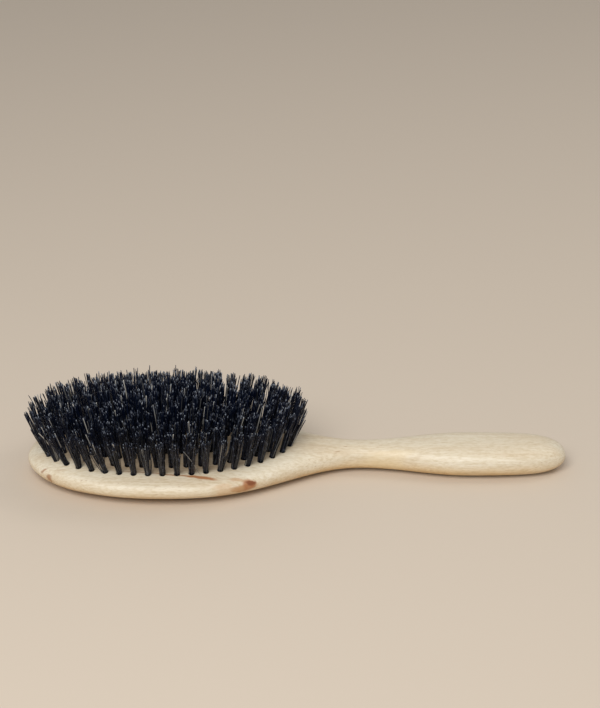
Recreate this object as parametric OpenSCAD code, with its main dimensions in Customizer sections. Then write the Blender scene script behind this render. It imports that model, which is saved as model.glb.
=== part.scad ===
// Oval hairbrush: a one-piece beech body lying on its back, bored with blind
// holes on concentric rings. Each hole holds one tuft of bristle, folded over
// a small flat metal anchor that is driven into the wood.
//
// Frame: +X runs from the head to the handle, +Z is up, out of the bristled
// face. The origin is the middle of the body's box, on the resting plane.

/* [Body] */
// Overall length, head tip to handle end
body_length = 225; // [200:1:250]
// Exponent of the cross-section: 2 is an ellipse, more is squarer
section_power = 2.5; // [2:0.1:3]
// Depth of the flat land that the back rests on
land_depth = 0.3; // [0.1:0.05:0.6]

/* [Head] */
// Half of the head's greatest width
head_half_width = 34.6; // [28:0.1:38]
// Distance from the head tip to the widest place
head_widest = 57; // [50:1:64]
// Half of the head's thickness
head_half_thick = 6.75; // [5.5:0.05:8]

/* [Neck and handle] */
// Distance from the head tip to the narrowest place
neck_at = 139; // [132:1:146]
// Half of the neck's width
neck_half_width = 6.3; // [5:0.1:9]
// Half of the neck's thickness
neck_half_thick = 5.3; // [4.5:0.05:6.5]
// Distance from the head tip to the handle's widest place
handle_at = 184; // [176:1:192]
// Half of the handle's greatest width
handle_half_width = 12.7; // [10:0.1:15]

/* [Bristle field] */
// Distance from the head tip to the middle of the field
field_at = 58.9; // [57:0.1:62]
// Half length of the outer ring of tufts
field_half_length = 51.2; // [46:0.1:52]
// Half width of the outer ring of tufts
field_half_width = 26.5; // [22:0.1:27]
// Space between one ring and the next
ring_gap = 5.2; // [4.6:0.1:6]
// Least space between tufts along a ring
tuft_pitch = 5.84; // [5:0.01:7]
// Where each ring's first tuft stands, in pitches from the head end
first_tuft = 0.8; // [0:0.1:0.9]
// Outward lean of the tufts at the field's two ends, in degrees
end_lean = 15; // [8:1:20]
// Outward lean of the tufts at the field's two sides, in degrees
side_lean = 27; // [12:1:28]

/* [Tufts] */
// Diameter of the bored holes
hole_d = 2.5; // [2:0.05:2.8]
// Depth of the bored holes, along their own axis
hole_depth = 7; // [6:0.1:7.5]
// Height of a tuft above the wood, in the middle of the field
tuft_height = 20.5; // [14:0.5:24]
// How much shorter the tufts are trimmed at the edge of the field
edge_trim = 2; // [0:0.5:4]
// Diameter of a tuft where its tips spread
tuft_tip_d = 4.4; // [2.6:0.1:4.6]

/* [Anchors] */
// Width of an anchor plate, which bites into both sides of its hole
anchor_width = 3; // [2.7:0.05:3.2]
// Thickness of an anchor plate
anchor_thick = 0.35; // [0.25:0.05:0.5]
// Height of an anchor plate, along the hole
anchor_height = 1.6; // [1.2:0.1:2]

/* [Hidden] */

// Curves of the outline
head_power = 2;           // roundness of the head's outer half
neck_skew = 1.35;         // moves the shoulder towards the neck
handle_power = 2.7;       // roundness of the handle's end
nose_length = 22;         // over which the thickness closes at the head tip
nose_power = 1.7;         // roundness of that closing
tail_length = 18;         // over which the thickness closes at the handle end
tail_power = 2.2;         // roundness of that closing
taper_from = 92;          // where the head starts to thin towards the neck

// Facets of the body
head_stations = 30;
handle_stations = 34;
section_points = 48;

// Curves of the bristle field
field_power_head = 2.3;   // the field is fuller towards the head tip
field_power_neck = 1.9;   // and more pointed towards the neck
inner_round = 0.1;        // while each ring inwards is a little less pointed
field_steps = 120;        // samples along a ring

// Fits
root_gap = 0.05;          // between a tuft's root and its hole
anchor_gap = 0.02;        // around an anchor plate
fold = 0.9;               // bristle that passes under the anchor
tip_length = 3;           // domed end of a tuft
round_fn = 24;

centre_z = head_half_thick - land_depth;
middle = body_length / 2;
ring_count = 5;

// ---- outline and surface ---------------------------------------------

function clamp01(t) = min(1, max(0, t));
function smooth(t) = (1 - cos(180 * clamp01(t))) / 2;
function close(u, power) = pow(max(0, 1 - pow(clamp01(u), power)), 1 / power);
function blend(a, b, t) = a + (b - a) * t;

// s is the distance from the head tip
function half_width(s) =
    s < head_widest ? head_half_width * close((head_widest - s) / head_widest, head_power)
    : s < neck_at ? blend(
        head_half_width, neck_half_width,
        smooth(pow((s - head_widest) / (neck_at - head_widest), neck_skew)))
    : s < handle_at ? blend(
        neck_half_width, handle_half_width, smooth((s - neck_at) / (handle_at - neck_at)))
    : handle_half_width * close((s - handle_at) / (body_length - handle_at), handle_power);

function half_thick(s) =
    s < nose_length ? head_half_thick * close((nose_length - s) / nose_length, nose_power)
    : s < neck_at ? blend(
        head_half_thick, neck_half_thick, smooth((s - taper_from) / (neck_at - taper_from)))
    : blend(neck_half_thick, head_half_thick, smooth((s - neck_at) / (handle_at - neck_at)))
        * close((s - body_length + tail_length) / tail_length, tail_power);

function top_z(s, y) =
    centre_z + half_thick(s) * close(abs(y) / half_width(s), section_power);

// ---- body ------------------------------------------------------------

// stations crowd towards both tips, where the outline turns
stations = concat(
    [for (i = [1 : head_stations]) head_widest * (1 - cos(90 * i / head_stations))],
    [for (i = [1 : handle_stations - 1])
        head_widest + (body_length - head_widest) * sin(90 * i / handle_stations)]
);

function section(s) = [
    for (i = [0 : section_points - 1])
    let (
        a = 360 * i / section_points,
        c = cos(a),
        d = sin(a)
    )
    [
        s - middle,
        half_width(s) * sign(c) * pow(abs(c), 2 / section_power),
        centre_z + half_thick(s) * sign(d) * pow(abs(d), 2 / section_power)
    ]
];

module blank() {
    rows = len(stations);
    n = section_points;
    points = concat(
        [[-middle, 0, centre_z]],
        [for (s = stations) each section(s)],
        [[middle, 0, centre_z]]
    );
    last = len(points) - 1;
    faces = concat(
        [for (i = [0 : n - 1]) [0, 1 + i, 1 + (i + 1) % n]],
        [for (r = [0 : rows - 2], i = [0 : n - 1])
            let (
                a = 1 + r * n + i,
                b = 1 + r * n + (i + 1) % n
            )
            each [[a, a + n, b], [b, a + n, b + n]]],
        [for (i = [0 : n - 1])
            [last, 1 + (rows - 1) * n + (i + 1) % n, 1 + (rows - 1) * n + i]]
    );
    polyhedron(points, faces);
}

module brush_body() {
    color("blanchedalmond")
    difference() {
        intersection() {
            blank();
            translate([-body_length, -body_length, 0])
                cube([2 * body_length, 2 * body_length, body_length]);
        }
        for (k = [0 : ring_count])
            at_holes(k) bore();
    }
}

// ---- where the tufts stand -------------------------------------------

// ring 0 is the outer one, and ring_count is the row down the middle
function ring_half_length(k) = field_half_length - k * ring_gap;
function ring_half_width(k) = max(0, field_half_width - k * ring_gap);

function ring_point(k, a) =
    let (
        c = cos(a),
        d = sin(a),
        p = 2 / (c > 0 ? field_power_head : field_power_neck + k * inner_round)
    )
    [
        field_at - ring_half_length(k) * sign(c) * pow(abs(c), p),
        -ring_half_width(k) * sign(d) * pow(abs(d), p)
    ];

// pairs of [length so far, angle] around a ring
function ring_lengths(k, i = 0, done = 0) =
    i > field_steps ? [] : concat(
        [[done, 360 * i / field_steps]],
        ring_lengths(k, i + 1, done + norm(
            ring_point(k, 360 * (i + 1) / field_steps) - ring_point(k, 360 * i / field_steps)))
    );

function ring_spots(k) =
    let (
        table = ring_lengths(k),
        total = table[field_steps][0],
        count = floor(total / tuft_pitch)
    )
    [for (i = [0 : count - 1])
        ring_point(k, lookup((i + first_tuft) * total / count, table))];

function row_spots() =
    let (
        reach = ring_half_length(ring_count) - tuft_pitch,
        count = round(2 * reach / tuft_pitch)
    )
    [for (i = [0 : count - 1])
        [field_at - reach + (i + 0.5) * 2 * reach / count, 0]];

function spots(k) = k < ring_count ? ring_spots(k) : row_spots();

// lean grows with the distance from the middle of the field
function lean(p) = [
    end_lean * (p[0] - field_at) / field_half_length,
    side_lean * p[1] / field_half_width
];

// how high the tuft at a spot is trimmed
function trimmed(p) = tuft_height
    - edge_trim * pow((p[0] - field_at) / field_half_length, 2)
    - edge_trim * pow(p[1] / field_half_width, 2);

// places children on the wood at each hole of ring k, with +Z along the hole
module at_holes(k) {
    for (p = spots(k)) {
        tilt = lean(p);
        $height = trimmed(p);
        translate([p[0] - middle, p[1], top_z(p[0], p[1])])
            rotate([0, 0, atan2(tilt[1], tilt[0])])
                rotate([0, norm(tilt), 0])
                    children();
    }
}

// ---- tufts and anchors -----------------------------------------------

// the slot or plate across a hole; gap widens it all round but not below
module plate(gap) {
    translate([
        -anchor_thick / 2 - gap,
        -anchor_width / 2 - gap,
        -hole_depth + fold
    ])
        cube([anchor_thick + 2 * gap, anchor_width + 2 * gap, anchor_height + gap]);
}

module bore() {
    translate([0, 0, -hole_depth])
        cylinder(h = 2 * hole_depth, d = hole_d, $fn = round_fn);
    plate(anchor_gap);
}

module tuft() {
    root_r = hole_d / 2 - root_gap;
    difference() {
        rotate_extrude($fn = round_fn)
            polygon([
                [0, -hole_depth],
                [root_r, -hole_depth],
                [root_r, 0],
                [tuft_tip_d / 2, $height - tip_length],
                [tuft_tip_d / 3, $height - tip_length / 4],
                [0, $height]
            ]);
        plate(anchor_gap);
    }
}

module tufts(k) {
    color("midnightblue") at_holes(k) tuft();
}

module anchors(k) {
    color("silver") at_holes(k) plate(0);
}

brush_body();
tufts(0);  // tufts_ring_1
tufts(1);  // tufts_ring_2
tufts(2);  // tufts_ring_3
tufts(3);  // tufts_ring_4
tufts(4);  // tufts_ring_5
tufts(ring_count);  // tufts_centre_row
anchors(0);  // anchors_ring_1
anchors(1);  // anchors_ring_2
anchors(2);  // anchors_ring_3
anchors(3);  // anchors_ring_4
anchors(4);  // anchors_ring_5
anchors(ring_count);  // anchors_centre_row
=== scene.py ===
"""Oval beech hairbrush with dark boar-bristle tufts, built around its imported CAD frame."""

import bpy
import numpy as np
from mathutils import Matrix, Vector


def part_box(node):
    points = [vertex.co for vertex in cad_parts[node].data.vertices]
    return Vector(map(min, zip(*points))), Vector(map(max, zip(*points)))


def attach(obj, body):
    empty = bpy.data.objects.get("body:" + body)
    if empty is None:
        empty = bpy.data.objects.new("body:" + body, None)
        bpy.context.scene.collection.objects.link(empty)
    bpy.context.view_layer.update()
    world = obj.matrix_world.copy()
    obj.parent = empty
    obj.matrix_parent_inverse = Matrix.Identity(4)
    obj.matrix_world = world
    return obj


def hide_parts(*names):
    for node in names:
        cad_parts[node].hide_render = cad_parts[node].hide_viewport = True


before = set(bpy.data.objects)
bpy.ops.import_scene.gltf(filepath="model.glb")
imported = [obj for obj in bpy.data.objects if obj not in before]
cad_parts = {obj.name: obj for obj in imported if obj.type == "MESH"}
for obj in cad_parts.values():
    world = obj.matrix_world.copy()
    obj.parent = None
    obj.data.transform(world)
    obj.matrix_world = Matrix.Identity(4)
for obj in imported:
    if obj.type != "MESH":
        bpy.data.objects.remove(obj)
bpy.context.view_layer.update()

MM = 0.001
RING_NODES = ["tufts_ring_1", "tufts_ring_2", "tufts_ring_3", "tufts_ring_4", "tufts_ring_5"]
ROW_NODE = "tufts_centre_row"

# ---- the design's dimensions, in millimetres, as in the CAD part ----------
# s is the distance from the head tip, along the brush

BODY_LENGTH = (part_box("brush_body")[1][0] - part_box("brush_body")[0][0]) / MM
SECTION_POWER = 2.5
LAND_DEPTH = 0.3

HEAD_HALF_WIDTH = 34.6
HEAD_WIDEST = 57.0
HEAD_HALF_THICK = 6.75
HEAD_POWER = 2.0

NECK_AT = 139.0
NECK_HALF_WIDTH = 6.3
NECK_HALF_THICK = 5.3
NECK_SKEW = 1.35
TAPER_FROM = 92.0

HANDLE_AT = 184.0
HANDLE_HALF_WIDTH = 12.7
HANDLE_POWER = 2.7

NOSE_LENGTH = 22.0
NOSE_POWER = 1.7
TAIL_LENGTH = 18.0
TAIL_POWER = 2.2

FIELD_AT = 58.9
FIELD_HALF_LENGTH = 51.2
FIELD_HALF_WIDTH = 26.5
FIELD_POWER_HEAD = 2.3
FIELD_POWER_NECK = 1.9
INNER_ROUND = 0.1
RING_GAP = 5.2
TUFT_PITCH = 5.84
FIRST_TUFT = 0.8
END_LEAN = 15.0
SIDE_LEAN = 27.0

HOLE_R = 1.25
HOLE_DEPTH = 7.0
TUFT_HEIGHT = 20.5
EDGE_TRIM = 2.0

MIDDLE = BODY_LENGTH / 2
CENTRE_Z = HEAD_HALF_THICK - LAND_DEPTH


# ---- the surface, as in the CAD part --------------------------------------

def closing(u, power):
    """Falls from 1 to 0 along a superellipse as u goes from 0 to 1."""
    u = np.clip(u, 0, 1)
    return np.maximum(0, 1 - u**power) ** (1 / power)


def smooth(t):
    return (1 - np.cos(np.pi * np.clip(t, 0, 1))) / 2


def half_width(s):
    head = HEAD_HALF_WIDTH * closing((HEAD_WIDEST - s) / HEAD_WIDEST, HEAD_POWER)
    along = np.clip((s - HEAD_WIDEST) / (NECK_AT - HEAD_WIDEST), 0, 1)
    shoulder = HEAD_HALF_WIDTH + (NECK_HALF_WIDTH - HEAD_HALF_WIDTH) * smooth(along**NECK_SKEW)
    swell = smooth((s - NECK_AT) / (HANDLE_AT - NECK_AT))
    grip = NECK_HALF_WIDTH + (HANDLE_HALF_WIDTH - NECK_HALF_WIDTH) * swell
    end = HANDLE_HALF_WIDTH * closing((s - HANDLE_AT) / (BODY_LENGTH - HANDLE_AT), HANDLE_POWER)
    places = [s < HEAD_WIDEST, s < NECK_AT, s < HANDLE_AT]
    return np.select(places, [head, shoulder, grip], end)


def half_thick(s):
    nose = HEAD_HALF_THICK * closing((NOSE_LENGTH - s) / NOSE_LENGTH, NOSE_POWER)
    thinning = smooth((s - TAPER_FROM) / (NECK_AT - TAPER_FROM))
    head = HEAD_HALF_THICK + (NECK_HALF_THICK - HEAD_HALF_THICK) * thinning
    swell = smooth((s - NECK_AT) / (HANDLE_AT - NECK_AT))
    grip = NECK_HALF_THICK + (HEAD_HALF_THICK - NECK_HALF_THICK) * swell
    tail = closing((s - BODY_LENGTH + TAIL_LENGTH) / TAIL_LENGTH, TAIL_POWER)
    return np.select([s < NOSE_LENGTH, s < NECK_AT], [nose, head], grip * tail)


def top_z(s, y):
    return CENTRE_Z + half_thick(s) * closing(np.abs(y) / half_width(s), SECTION_POWER)


# ---- where the tufts stand ------------------------------------------------

def ring_path(k, steps=720):
    """Points round ring k, from its head end, and the length run at each."""
    angle = np.linspace(0, 2 * np.pi, steps + 1)
    c = np.cos(angle)
    d = np.sin(angle)
    neck_power = FIELD_POWER_NECK + k * INNER_ROUND
    p = 2 / np.where(c > 0, FIELD_POWER_HEAD, neck_power)
    s = FIELD_AT - (FIELD_HALF_LENGTH - k * RING_GAP) * np.sign(c) * np.abs(c) ** p
    y = -(FIELD_HALF_WIDTH - k * RING_GAP) * np.sign(d) * np.abs(d) ** p
    run = np.concatenate([[0], np.cumsum(np.hypot(np.diff(s), np.diff(y)))])
    return s, y, run


def ring_spots(k):
    s, y, run = ring_path(k)
    count = int(run[-1] / TUFT_PITCH)
    at = (np.arange(count) + FIRST_TUFT) * run[-1] / count
    return np.column_stack([np.interp(at, run, s), np.interp(at, run, y)])


def row_spots():
    reach = FIELD_HALF_LENGTH - len(RING_NODES) * RING_GAP - TUFT_PITCH
    count = int(2 * reach / TUFT_PITCH + 0.5)
    s = FIELD_AT - reach + (np.arange(count) + 0.5) * 2 * reach / count
    return np.column_stack([s, np.zeros(count)])


def hole_frames(spots):
    """For each hole: its mouth on the wood, and two cross directions and its axis."""
    s, y = spots[:, 0], spots[:, 1]
    mouth = np.column_stack([s - MIDDLE, y, top_z(s, y)])
    lean_x = np.radians((s - FIELD_AT) / FIELD_HALF_LENGTH * END_LEAN)
    lean_y = np.radians(y / FIELD_HALF_WIDTH * SIDE_LEAN)
    tilt = np.hypot(lean_x, lean_y)
    turn = np.arctan2(lean_y, lean_x)
    axis = np.column_stack([np.sin(tilt) * np.cos(turn), np.sin(tilt) * np.sin(turn), np.cos(tilt)])
    across = np.column_stack([-np.sin(turn), np.cos(turn), np.zeros(len(turn))])
    outward = np.cross(across, axis)
    return mouth, outward, across, axis


# ---- mesh helpers ---------------------------------------------------------

def new_object(name, points_mm, faces):
    mesh = bpy.data.meshes.new(name)
    mesh.from_pydata((np.asarray(points_mm) * MM).tolist(), [], faces)
    mesh.validate()
    mesh.update()
    piece = bpy.data.objects.new(name, mesh)
    bpy.context.scene.collection.objects.link(piece)
    return piece


def shade_smooth(piece, sharp_over):
    """Smooth shading, with edges sharper than so many degrees left crisp."""
    piece.data.shade_smooth()
    piece.data.set_sharp_from_angle(angle=np.radians(sharp_over))


# ---- wooden body ----------------------------------------------------------

BODY_STATIONS = 300
BODY_AROUND = 144
HOLE_AROUND = 32
BODY_SHARP_OVER = 32
# height along a hole's axis, and the radius there; the last two steps ease the mouth
HOLE_PROFILE = [
    (-HOLE_DEPTH, HOLE_R),
    (-0.18, HOLE_R),
    (-0.04, HOLE_R + 0.05),
    (0.5, HOLE_R + 0.3),
]


def body_shell():
    """The whole wooden body, before boring: rings of a superellipse along its length."""
    turn = np.linspace(0, np.pi, BODY_STATIONS + 2)[1:-1]
    stations = BODY_LENGTH * (1 - np.cos(turn)) / 2
    angle = np.linspace(0, 2 * np.pi, BODY_AROUND, endpoint=False)
    c = np.sign(np.cos(angle)) * np.abs(np.cos(angle)) ** (2 / SECTION_POWER)
    d = np.sign(np.sin(angle)) * np.abs(np.sin(angle)) ** (2 / SECTION_POWER)
    y = half_width(stations)[:, None] * c
    z = np.maximum(0, CENTRE_Z + half_thick(stations)[:, None] * d)
    x = np.repeat(stations[:, None] - MIDDLE, BODY_AROUND, axis=1)
    rings = np.stack([x, y, z], axis=2).reshape(-1, 3)
    points = np.vstack([rings, [[-MIDDLE, 0, CENTRE_Z]], [[MIDDLE, 0, CENTRE_Z]]])
    first, last = len(points) - 2, len(points) - 1
    faces = []
    for i in range(BODY_AROUND):
        j = (i + 1) % BODY_AROUND
        end = (BODY_STATIONS - 1) * BODY_AROUND
        faces.append((first, i, j))
        faces.append((last, end + j, end + i))
        for r in range(0, end, BODY_AROUND):
            faces.append((r + i, r + BODY_AROUND + i, r + BODY_AROUND + j, r + j))
    return new_object("beech_body", points, faces)


def hole_cutter(spots):
    """One closed plug for every hole, with a slightly eased mouth."""
    around = HOLE_AROUND
    angle = np.linspace(0, 2 * np.pi, around, endpoint=False)
    points = []
    faces = []
    for mouth, outward, across, axis in zip(*hole_frames(spots)):
        base = len(points)
        for height, radius in HOLE_PROFILE:
            centre = mouth + height * axis
            for a in angle:
                points.append(centre + radius * (np.cos(a) * outward + np.sin(a) * across))
        for level in range(len(HOLE_PROFILE) - 1):
            low = base + level * around
            for i in range(around):
                j = (i + 1) % around
                faces.append((low + i, low + j, low + around + j, low + around + i))
        top = base + (len(HOLE_PROFILE) - 1) * around
        faces.append(tuple(base + i for i in reversed(range(around))))
        faces.append(tuple(top + i for i in range(around)))
    return new_object("hole_cutter", points, faces)


def wooden_body(all_spots):
    """The body with its tuft holes bored; the cutter does not stay in the scene."""
    body = body_shell()
    cutter = hole_cutter(all_spots)
    boring = body.modifiers.new("boring", "BOOLEAN")
    boring.operation = "DIFFERENCE"
    boring.solver = "MANIFOLD"
    boring.object = cutter
    bpy.context.view_layer.update()
    depsgraph = bpy.context.evaluated_depsgraph_get()
    bored = bpy.data.meshes.new_from_object(body.evaluated_get(depsgraph))
    body.modifiers.clear()
    body.data = bored
    bpy.data.objects.remove(cutter)
    shade_smooth(body, BODY_SHARP_OVER)
    return body


# ---- bristles -------------------------------------------------------------

# lengths are in millimetres; a pair is the least and the most, and a scatter is a deviation
BRISTLES_A_TUFT = 30
BRISTLE_R = 0.22
BRISTLE_SIDES = 6
THICKNESS_SPAN = (0.7, 1.2)
ROOT_DEPTH = 1.2
# heights of a bristle's rings, from its root to its tip; the last step is the cut end
LEVELS = np.array([0, 0.12, 0.25, 0.38, 0.52, 0.66, 0.82, 0.965, 1.0])
TAPER_AT = [0, 0.6, 0.965, 1]
TAPER_TO = [1, 0.97, 0.88, 0.7]

# how a tuft opens from its hole, and how its tips gather into clumps
TIP_SPREAD = (1.85, 2.2)
TIP_SCATTER = 0.4
TUFT_SCATTER = 0.5
FAN_POWER = 0.9
CLUMPS_A_TUFT = 5
CLUMP_SCATTER = 1.4
CLUMP_HEIGHT_SCATTER = 0.9
CLUMP_PULL = (0.2, 0.75)
HEIGHT_SCATTER = 0.6

# how single bristles stray from the tuft
SHORT_SHARE = 0.18
SHORT_LENGTH = (0.55, 0.9)
WANDER_SHARE = 0.07
WANDER_FAR = 1.5
WANDER_NEAR = 0.45
WANDER_LIMIT = 1.6
WANDER_POWER = 2.5
BOW_SCATTER = 0.2

# how pale bristles are, from 0 for black to 1 for white
DARK_TONES = (0.0, 0.5)
GREY_TONES = (0.55, 0.75)
GREY_SHARE = 0.08
WHITE_TONES = (0.85, 1.0)
WHITE_SHARE = 0.022
# how often cut ends are pale, partly painted glints on the tips
PALE_END_POWER = 5

# pale hairs of the outer ring that have sprung loose: foot and tip
STRAY_HAIRS = [
    ((-39.3, -27.4, 12.2), (-44.8, -34.6, 26.0)),
    ((-1.7, -2.5, 11.6), (3.4, -3.5, 29.0)),
]
STRAY_TONE = 0.85
STRAY_BOW = 0.7
STRAY_THICKNESS = 0.7


def trimmed_height(s, y):
    """The tufts are trimmed to a shallow dome, lower at the edge of the field."""
    along = ((s - FIELD_AT) / FIELD_HALF_LENGTH) ** 2
    across = (y / FIELD_HALF_WIDTH) ** 2
    return TUFT_HEIGHT - EDGE_TRIM * (along + across)


def tuft_bristles(rng, mouth, outward, across, axis):
    """Centre lines and radii of one tuft's bristles, by bristle and then by level."""
    n = BRISTLES_A_TUFT

    # sunflower packing fills the hole evenly
    index = np.arange(n) + 0.5
    root_r = (HOLE_R - BRISTLE_R) * np.sqrt(index / n)
    root_a = index * np.pi * (3 - np.sqrt(5)) + rng.uniform(0, 2 * np.pi)
    root = np.column_stack([root_r * np.cos(root_a), root_r * np.sin(root_a)])

    # tips spread, then gather into a few clumps of their own height
    spread = root * rng.uniform(*TIP_SPREAD) + rng.normal(0, TIP_SCATTER, (n, 2))
    clump = rng.normal(0, CLUMP_SCATTER, (CLUMPS_A_TUFT, 2))
    clump_height = rng.normal(0, CLUMP_HEIGHT_SCATTER, CLUMPS_A_TUFT)
    nearest = np.argmin(np.linalg.norm(spread[:, None] - clump[None], axis=2), axis=1)
    pull = rng.uniform(*CLUMP_PULL, n)[:, None]
    tip = spread + (clump[nearest] - spread) * pull
    level = trimmed_height(mouth[0] + MIDDLE, mouth[1])
    height = level + clump_height[nearest] + rng.normal(0, HEIGHT_SCATTER, n)

    # a few bristles are short, and a few wander off
    short = rng.random(n) < SHORT_SHARE
    height = np.where(short, height * rng.uniform(*SHORT_LENGTH, n), height)
    wander = np.where(rng.random(n) < WANDER_SHARE, WANDER_FAR, WANDER_NEAR)
    way = rng.normal(0, 1, (n, 2)).clip(-WANDER_LIMIT, WANDER_LIMIT)
    bend = way * wander[:, None]
    tuft_lean = rng.normal(0, TUFT_SCATTER, 2)

    t = LEVELS[None, :, None]
    bow = rng.normal(0, BOW_SCATTER, (n, 1, 2)) * np.sin(np.pi * t)
    fan = (tip - root + tuft_lean)[:, None] * t**FAN_POWER
    flat = root[:, None] + fan + bend[:, None] * t**WANDER_POWER + bow
    rise = -ROOT_DEPTH + (height[:, None] + ROOT_DEPTH) * LEVELS[None]
    line = mouth + flat[..., :1] * outward + flat[..., 1:] * across + rise[..., None] * axis
    taper = np.interp(LEVELS, TAPER_AT, TAPER_TO)
    radius = BRISTLE_R * rng.uniform(*THICKNESS_SPAN, n)[:, None] * taper[None]
    return line, radius


def bristle_tones(rng, count):
    """A tone from 0 to 1 for each bristle: most are black, and a few are grey or white."""
    tone = rng.uniform(*DARK_TONES, count)
    kind = rng.random(count)
    tone = np.where(kind < GREY_SHARE, rng.uniform(*GREY_TONES, count), tone)
    return np.where(kind < WHITE_SHARE, rng.uniform(*WHITE_TONES, count), tone)


def stray_hair(start, end):
    """The centre line and radii of one hair that bows between two places."""
    start = np.array(start)
    reach = np.array(end) - start
    t = LEVELS[:, None]
    line = start + reach * t + np.array([0, 0, STRAY_BOW]) * np.sin(np.pi * t)
    return line[None], np.full((1, len(LEVELS)), STRAY_THICKNESS * BRISTLE_R)


def tube_points(line, radius, side):
    """A many-sided section carried up each centre line and turned by its own angle."""
    flat = np.zeros(len(line))
    first = np.column_stack([np.cos(side), np.sin(side), flat])
    second = np.column_stack([-np.sin(side), np.cos(side), flat])
    points = []
    for k in range(BRISTLE_SIDES):
        a = 2 * np.pi * k / BRISTLE_SIDES
        arm = np.cos(a) * first + np.sin(a) * second
        points.append(line + radius[..., None] * arm[:, None])
    return np.stack(points, axis=2).reshape(-1, 3)


def tube_faces(count, stride):
    """Walls and both end caps for so many tubes of stride points each."""
    sides = BRISTLE_SIDES
    pattern = []
    for low in range(0, stride - sides, sides):
        for i in range(sides):
            j = (i + 1) % sides
            pattern.append((low + i, low + j, low + sides + j, low + sides + i))
    pattern = np.array(pattern)
    ends = np.array([range(sides - 1, -1, -1), range(stride - sides, stride)])
    start = np.arange(count)[:, None, None] * stride
    walls = (start + pattern[None]).reshape(-1, 4).tolist()
    caps = (start + ends[None]).reshape(-1, sides).tolist()
    return walls + caps


def bristle_ring(name, spots, seed, strays=()):
    """All the bristles of one ring of tufts, and any stray hairs, as one piece."""
    rng = np.random.default_rng(seed)
    lines = []
    radii = []
    for mouth, outward, across, axis in zip(*hole_frames(spots)):
        line, radius = tuft_bristles(rng, mouth, outward, across, axis)
        lines.append(line)
        radii.append(radius)
    for start, end in strays:
        line, radius = stray_hair(start, end)
        lines.append(line)
        radii.append(radius)
    line = np.concatenate(lines)
    radius = np.concatenate(radii)
    count = len(line)

    stride = len(LEVELS) * BRISTLE_SIDES
    points = tube_points(line, radius, rng.uniform(0, 2 * np.pi, count))
    ring = new_object(name, points, tube_faces(count, stride))
    ring.data.shade_smooth()
    tone = bristle_tones(rng, count)
    tone[count - len(strays):] = STRAY_TONE
    tone = np.repeat(tone, stride)
    height = np.tile(np.repeat(LEVELS, BRISTLE_SIDES), count)
    # blue: how pale the cut end is, partly a painted glint
    paleness = np.repeat(rng.random(count) ** PALE_END_POWER, stride)
    colours = np.column_stack([tone, height, paleness, np.ones(len(tone))]).ravel()
    layer = ring.data.color_attributes.new("bristle", "FLOAT_COLOR", "POINT")
    layer.data.foreach_set("color", colours)
    return ring


# ---- materials ------------------------------------------------------------

def node_material(name):
    material = bpy.data.materials.new(name)
    material.use_nodes = True
    tree = material.node_tree
    return material, tree, tree.nodes["Principled BSDF"]


def add_node(tree, kind, settings=(), **inputs):
    """A new node with the given settings; an input takes a value or another node's output."""
    node = tree.nodes.new("ShaderNode" + kind)
    for key, value in dict(settings).items():
        setattr(node, key, value)
    for key, value in inputs.items():
        socket = node.inputs[key]
        if isinstance(value, bpy.types.NodeSocket):
            tree.links.new(value, socket)
        else:
            socket.default_value = value
    return node


def colour_ramp(tree, fac, stops):
    """A ramp through (position, colour) stops; returns its colour."""
    ramp = add_node(tree, "ValToRGB", Fac=fac)
    elements = ramp.color_ramp.elements
    elements[0].position = stops[0][0]
    elements[0].color = (*stops[0][1], 1)
    elements[1].position = stops[-1][0]
    elements[1].color = (*stops[-1][1], 1)
    for position, colour in stops[1:-1]:
        elements.new(position).color = (*colour, 1)
    return ramp.outputs["Color"]


def mix_colour(tree, amount, base, over, blend="MIX"):
    node = add_node(tree, "Mix", {"data_type": "RGBA", "blend_type": blend})
    for index, value in ((0, amount), (6, base), (7, over)):
        socket = node.inputs[index]
        if isinstance(value, bpy.types.NodeSocket):
            tree.links.new(value, socket)
        else:
            socket.default_value = value
    return node.outputs[2]


def vector_math(tree, operation, first, second=None, output="Vector"):
    """One step of vector arithmetic on a node's output, with a constant where it takes one."""
    node = add_node(tree, "VectorMath", {"operation": operation})
    tree.links.new(first, node.inputs[0])
    if second is not None:
        node.inputs[1].default_value = second
    return node.outputs[output]


def stretched_noise(tree, place, scale, detail=3.0, roughness=0.5, offset=(0, 0, 0)):
    """Noise at so many cells per metre along X, Y and Z."""
    moved = add_node(tree, "Mapping", Vector=place, Scale=scale, Location=offset)
    noise = add_node(
        tree, "TexNoise", Vector=moved.outputs["Vector"], Scale=1.0, Detail=detail, Roughness=roughness
    )
    return noise.outputs["Fac"]


def remap(tree, value, low, high, to_low=0.0, to_high=1.0):
    """Carries low..high smoothly to to_low..to_high, and holds the ends."""
    node = add_node(tree, "MapRange", {"interpolation_type": "SMOOTHSTEP"})
    tree.links.new(value, node.inputs["Value"])
    keys = ("From Min", "From Max", "To Min", "To Max")
    for key, number in zip(keys, (low, high, to_low, to_high)):
        node.inputs[key].default_value = number
    return node.outputs["Result"]


def multiply(tree, first, second):
    node = add_node(tree, "Math", {"operation": "MULTIPLY"})
    tree.links.new(first, node.inputs[0])
    if isinstance(second, bpy.types.NodeSocket):
        tree.links.new(second, node.inputs[1])
    else:
        node.inputs[1].default_value = second
    return node.outputs[0]


STREAK_DEPTH = 4
STREAK_CORE = 0.45


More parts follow.
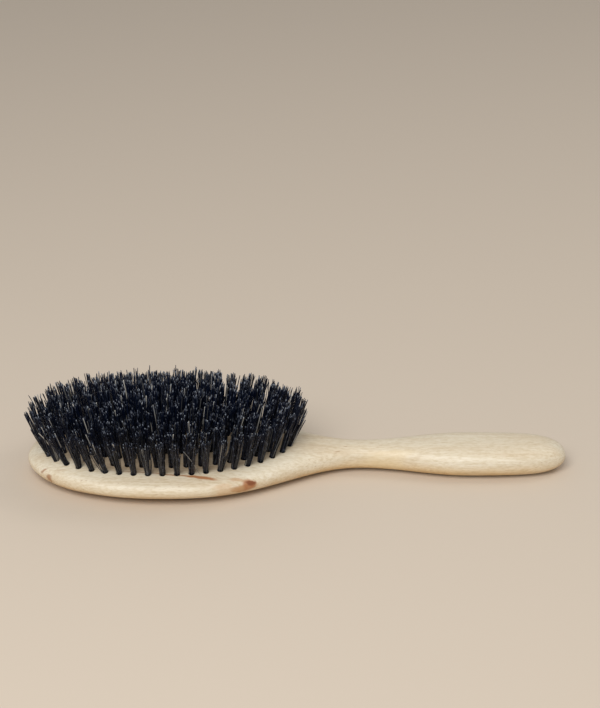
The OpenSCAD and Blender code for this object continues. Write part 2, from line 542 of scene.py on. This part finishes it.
def streak_mask(tree, place, start, end, thickness):
    """1 inside a spindle between two places on the wood, in millimetres, fading out."""
    start = Vector(start) * MM
    end = Vector(end) * MM
    middle = (start + end) / 2
    half = (end - start).length / 2
    turn = (end - start).to_track_quat("X", "Z").to_euler()
    from_middle = vector_math(tree, "SUBTRACT", place, middle)
    level = add_node(
        tree,
        "VectorRotate",
        {"rotation_type": "EULER_XYZ", "invert": True},
        Vector=from_middle,
        Rotation=turn,
    )
    size = (half, thickness * MM, thickness * STREAK_DEPTH * MM)
    spindle = vector_math(tree, "DIVIDE", level.outputs[0], size)
    reach = vector_math(tree, "LENGTH", spindle, output="Value")
    return remap(tree, reach, 1.0, STREAK_CORE)


# pale cut ends of the bristles, partly a painted glint on the tips
CUT_END_GLINT_COLOUR = (0.30, 0.33, 0.38, 1)


def bristle_material():
    """Dyed bristle with painted sheen and glints: red is its tone, green the height along it, and blue
    how pale its cut end is, partly a painted glint.
    """
    material, tree, shader = node_material("boar_bristle")
    layer = add_node(tree, "VertexColor", {"layer_name": "bristle"})
    split = add_node(tree, "SeparateColor", Color=layer.outputs["Color"])
    where = add_node(tree, "TexCoord").outputs["Object"]
    tone = colour_ramp(tree, split.outputs["Red"], [
        (0.0, (0.0018, 0.0028, 0.0060)),
        (0.30, (0.0045, 0.0085, 0.0230)),
        (0.50, (0.0075, 0.0090, 0.0150)),
        (0.75, (0.080, 0.078, 0.075)),
        (1.0, (0.50, 0.47, 0.42)),
    ])
    # painted sheen: bright glints added to the bristles' colour where the noise is high
    glint_noise = stretched_noise(tree, where, (1200, 1200, 280), detail=2.0, offset=(2, 5, 3))
    painted_sheen = colour_ramp(tree, glint_noise, [(0.58, (0.0, 0.0, 0.0)), (0.80, (0.13, 0.15, 0.19))])
    colour = mix_colour(tree, 1.0, tone, painted_sheen, "ADD")
    # pale cut ends, partly painted glints on the tips
    cut = multiply(tree, remap(tree, split.outputs["Green"], 0.95, 1.0), split.outputs["Blue"])
    colour = mix_colour(tree, cut, colour, CUT_END_GLINT_COLOUR)
    tree.links.new(colour, shader.inputs["Base Color"])
    shader.inputs["Roughness"].default_value = 0.22
    shader.inputs["Specular IOR Level"].default_value = 0.25
    return material


# marks in the wood: start and end in millimetres, thickness, colour and strength
WOOD_MARKS = [
    # the growth line along the feet of the front tufts, and its reddish end
    ((-76, -24.3, 11.8), (-50, -26.7, 11.5), 0.5, (0.34, 0.20, 0.11), 0.7),
    ((-60, -25.9, 11.6), (-40, -28.2, 11.0), 0.55, (0.36, 0.16, 0.06), 0.85),
    ((-48, -27.0, 11.3), (-30, -29.4, 10.0), 1.0, (0.38, 0.14, 0.04), 0.9),
    # the knot on the shoulder, from its faint edges to its dark core
    ((-29, -28.4, 9.9), (-20, -27.3, 9.0), 0.8, (0.50, 0.28, 0.13), 0.6),
    ((-35, -32.2, 6.6), (-24, -30.0, 7.4), 1.4, (0.60, 0.38, 0.20), 0.45),
    ((-29, -31.9, 5.6), (-12, -24.8, 5.7), 0.9, (0.44, 0.20, 0.06), 0.75),
    ((-23.5, -28.6, 7.9), (-15.6, -26.1, 6.6), 1.1, (0.40, 0.15, 0.05), 0.8),
    ((-21.4, -27.9, 8.5), (-14.6, -26.0, 7.5), 0.55, (0.22, 0.065, 0.02), 0.95),
    # small marks at the head's end
    ((-105.6, -17.0, 7.2), (-101.2, -18.4, 9.8), 0.5, (0.36, 0.17, 0.08), 0.75),
    ((-103.3, -19.4, 6.9), (-98.4, -21.9, 5.2), 0.7, (0.34, 0.15, 0.06), 0.8),
    ((-99, -20.4, 9.6), (-93, -21.6, 9.9), 0.6, (0.50, 0.34, 0.20), 0.45),
    # two flecks and a golden patch on the neck
    ((18.6, -3.4, 11.5), (21.6, -3.0, 11.5), 0.3, (0.45, 0.30, 0.18), 0.8),
    ((14.8, -6.2, 10.9), (18.0, -5.5, 10.8), 0.35, (0.45, 0.30, 0.18), 0.8),
    ((24, -5.6, 6.5), (54, -7.6, 7.6), 2.2, (0.80, 0.62, 0.34), 0.3),
]
WAVER_SCALE = 260.0
WAVER_REACH = Vector((0.004, 0.0012, 0.0012))

# painted warm bounce light for the lower edge, partly the oiled wood's own golden tone
BOUNCE_TINT = (0.90, 0.70, 0.42, 1)
# painted shade on the wood's face between the tufts: its tint and strength
FIELD_SHADE_TINT = (0.60, 0.50, 0.42, 1)
FIELD_SHADE_STRENGTH = 0.8
FLECK_COLOUR = (0.40, 0.24, 0.12, 1)
FLECK_STRENGTH = 0.55


def painted_bounce_edge(tree, where, height, colour):
    """Painted warm bounce light round the lower edge, in patches, but not on its back; some of the
    gold is the oiled wood's own tone.
    """
    drift = stretched_noise(tree, where, (45, 90, 90), detail=2.0, offset=(4, 6, 2))
    below = remap(tree, height, 0.0085, 0.0015)
    above_back = remap(tree, height, 0.0003, 0.0018)
    low = multiply(tree, below, above_back)
    golden = multiply(tree, low, remap(tree, drift, 0.25, 0.6, 0.45, 1.0))
    return mix_colour(tree, golden, colour, BOUNCE_TINT, "MULTIPLY")


def shaded_field(tree, where, height, colour):
    """Painted shade: the face of the wood is darker between the tufts, where they shade it."""
    centre = ((FIELD_AT - MIDDLE) * MM, 0, TUFT_HEIGHT * MM / 2)
    from_centre = vector_math(tree, "SUBTRACT", where, centre)
    field_size = (FIELD_HALF_LENGTH * MM, FIELD_HALF_WIDTH * MM, 1)
    inside = vector_math(tree, "DIVIDE", from_centre, field_size)
    reach = vector_math(tree, "LENGTH", inside, output="Value")
    face = remap(tree, height, 0.0085, 0.0105)
    painted_shade = multiply(tree, face, remap(tree, reach, 1.04, 0.92, 0.0, FIELD_SHADE_STRENGTH))
    return mix_colour(tree, painted_shade, colour, FIELD_SHADE_TINT, "MULTIPLY")


def dark_flecks(tree, where, colour):
    """Short dark flecks, a few millimetres long, in patches."""
    flecks = stretched_noise(tree, where, (330, 1900, 1900), detail=1.0, offset=(3, 7, 1))
    patches = stretched_noise(tree, where, (40, 130, 130), detail=2.0, offset=(9, 2, 5))
    amount = multiply(tree, remap(tree, flecks, 0.66, 0.76), remap(tree, patches, 0.42, 0.62))
    return mix_colour(tree, multiply(tree, amount, FLECK_STRENGTH), colour, FLECK_COLOUR)


def wood_marks(tree, where, colour):
    """The listed marks, which wander a little with the grain."""
    waver = add_node(tree, "TexNoise", Vector=where, Scale=WAVER_SCALE, Detail=3.0)
    shift = add_node(tree, "VectorMath", {"operation": "MULTIPLY_ADD"})
    tree.links.new(waver.outputs["Color"], shift.inputs[0])
    shift.inputs[1].default_value = WAVER_REACH
    tree.links.new(where, shift.inputs[2])
    centred = vector_math(tree, "SUBTRACT", shift.outputs[0], WAVER_REACH / 2)
    for start, end, thickness, tint, strength in WOOD_MARKS:
        mask = streak_mask(tree, centred, start, end, thickness)
        colour = mix_colour(tree, multiply(tree, mask, strength), colour, (*tint, 1))
    return colour


def wood_material():
    """Oiled beech with its grain along the brush."""
    material, tree, shader = node_material("oiled_beech")
    where = add_node(tree, "TexCoord").outputs["Object"]
    height = add_node(tree, "SeparateXYZ", Vector=where).outputs["Z"]

    # broad growth bands, then fine fibres, then a mottle of short dashes
    bands = stretched_noise(tree, where, (9, 95, 120), detail=4.0, roughness=0.6)
    colour = colour_ramp(tree, bands, [
        (0.28, (0.68, 0.55, 0.38)),
        (0.50, (0.78, 0.69, 0.53)),
        (0.72, (0.84, 0.77, 0.63)),
    ])
    fibres = stretched_noise(tree, where, (70, 1500, 1500), detail=3.0, roughness=0.65)
    fibre_shade = colour_ramp(tree, fibres, [(0.30, (0.86, 0.82, 0.76)), (0.62, (1.0, 1.0, 1.0))])
    colour = mix_colour(tree, 0.8, colour, fibre_shade, "MULTIPLY")
    mottle = stretched_noise(tree, where, (420, 1500, 1500), detail=2.0, offset=(5, 1, 8))
    dashes = colour_ramp(tree, mottle, [(0.36, (0.87, 0.83, 0.75)), (0.56, (1.0, 1.0, 1.0))])
    colour = mix_colour(tree, 0.75, colour, dashes, "MULTIPLY")

    # painted bounce light round the lower edge
    colour = painted_bounce_edge(tree, where, height, colour)
    # painted shade between the tufts
    colour = shaded_field(tree, where, height, colour)
    colour = dark_flecks(tree, where, colour)
    colour = wood_marks(tree, where, colour)
    tree.links.new(colour, shader.inputs["Base Color"])

    # pale bands are polished a little more; pores and fibres give a faint relief
    polish = remap(tree, bands, 0.3, 0.7, 0.50, 0.42)
    tree.links.new(polish, shader.inputs["Roughness"])
    pores = add_node(tree, "Bump", Strength=0.35, Distance=0.00018, Height=mottle)
    pores_normal = pores.outputs["Normal"]
    bump = add_node(
        tree, "Bump", Strength=0.25, Distance=0.00012, Height=fibres, Normal=pores_normal
    )
    tree.links.new(bump.outputs["Normal"], shader.inputs["Normal"])
    return material


def metal_material():
    """Galvanised strip for the anchors, which sit out of sight in their holes."""
    material, tree, shader = node_material("anchor_strip")
    where = add_node(tree, "TexCoord").outputs["Object"]
    rolled = stretched_noise(tree, where, (900, 900, 6000), detail=2.0)
    colour = colour_ramp(tree, rolled, [(0.3, (0.50, 0.49, 0.47)), (0.7, (0.68, 0.67, 0.64))])
    tree.links.new(colour, shader.inputs["Base Color"])
    shader.inputs["Metallic"].default_value = 1.0
    shader.inputs["Roughness"].default_value = 0.35
    return material


def plain_material(name, colour, roughness):
    material, _, shader = node_material(name)
    shader.inputs["Base Color"].default_value = (*colour, 1)
    shader.inputs["Roughness"].default_value = roughness
    return material


# ---- assembly -------------------------------------------------------------

BRISTLE_SEED = 100


def show(piece, material, slot, *nodes):
    """Gives a piece its material, and puts it in place of its CAD nodes."""
    piece.data.materials.clear()
    piece.data.materials.append(material)
    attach(piece, "root")
    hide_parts(*nodes)


rings = [ring_spots(k) for k in range(len(RING_NODES))] + [row_spots()]
show(wooden_body(np.vstack(rings)), wood_material(), "beech", "brush_body")

bristle = bristle_material()
for number, (node, spots) in enumerate(zip(RING_NODES + [ROW_NODE], rings)):
    strays = STRAY_HAIRS if number == 0 else ()
    seed = BRISTLE_SEED + number
    ring = bristle_ring(node.replace("tufts", "bristles"), spots, seed, strays)
    show(ring, bristle, "bristle", node)

# the anchors are carried over from the CAD as they are
metal = metal_material()
for name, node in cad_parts.items():
    if name.startswith("anchors"):
        node.data.materials.clear()
        node.data.materials.append(metal)


# ---- floor, lights and camera ---------------------------------------------

FLOOR_SIZE = 3.0
FLOOR_COLOUR = (0.64, 0.54, 0.43)
FLOOR_ROUGHNESS = 0.8
LENS = 85
SENSOR_WIDTH = 36
CAMERA_AT = Vector((0.0013, -0.6177, 0.3418))
CAMERA_AIM = Vector((0.0013, 0.1124, 0))


def add_floor():
    bpy.ops.mesh.primitive_plane_add(size=FLOOR_SIZE)
    floor = bpy.context.object
    floor.name = "floor"
    floor.data.materials.append(plain_material("pale_floor", FLOOR_COLOUR, FLOOR_ROUGHNESS))


def add_area_light(name, place, size, power):
    """A square soft light, turned towards the middle of the brush."""
    light = bpy.data.lights.new(name, "AREA")
    light.size = size
    light.energy = power
    lamp = bpy.data.objects.new(name, light)
    lamp.location = place
    lamp.rotation_euler = (-Vector(place)).to_track_quat("-Z", "Y").to_euler()
    bpy.context.scene.collection.objects.link(lamp)


def add_world(colour, strength):
    world = bpy.data.worlds.new("studio")
    world.use_nodes = True
    background = world.node_tree.nodes["Background"]
    background.inputs["Color"].default_value = (*colour, 1)
    background.inputs["Strength"].default_value = strength
    bpy.context.scene.world = world


def add_camera():
    """A camera in front of the brush and above it, aimed past it at the floor."""
    camera = bpy.data.cameras.new("camera")
    camera.lens = LENS
    camera.sensor_width = SENSOR_WIDTH
    eye = bpy.data.objects.new("camera", camera)
    eye.location = CAMERA_AT
    eye.rotation_euler = (CAMERA_AIM - CAMERA_AT).to_track_quat("-Z", "Y").to_euler()
    bpy.context.scene.collection.objects.link(eye)
    bpy.context.scene.camera = eye


add_floor()
add_world((0.97, 0.98, 1.0), 0.42)
add_area_light("key", (-0.25, -0.80, 0.90), size=0.7, power=11)
add_area_light("fill", (0.8, 0.3, 1.0), size=0.5, power=2)
add_camera()
# plain colours: the default transform would grey the pale wood
bpy.context.scene.view_settings.view_transform = "Standard"
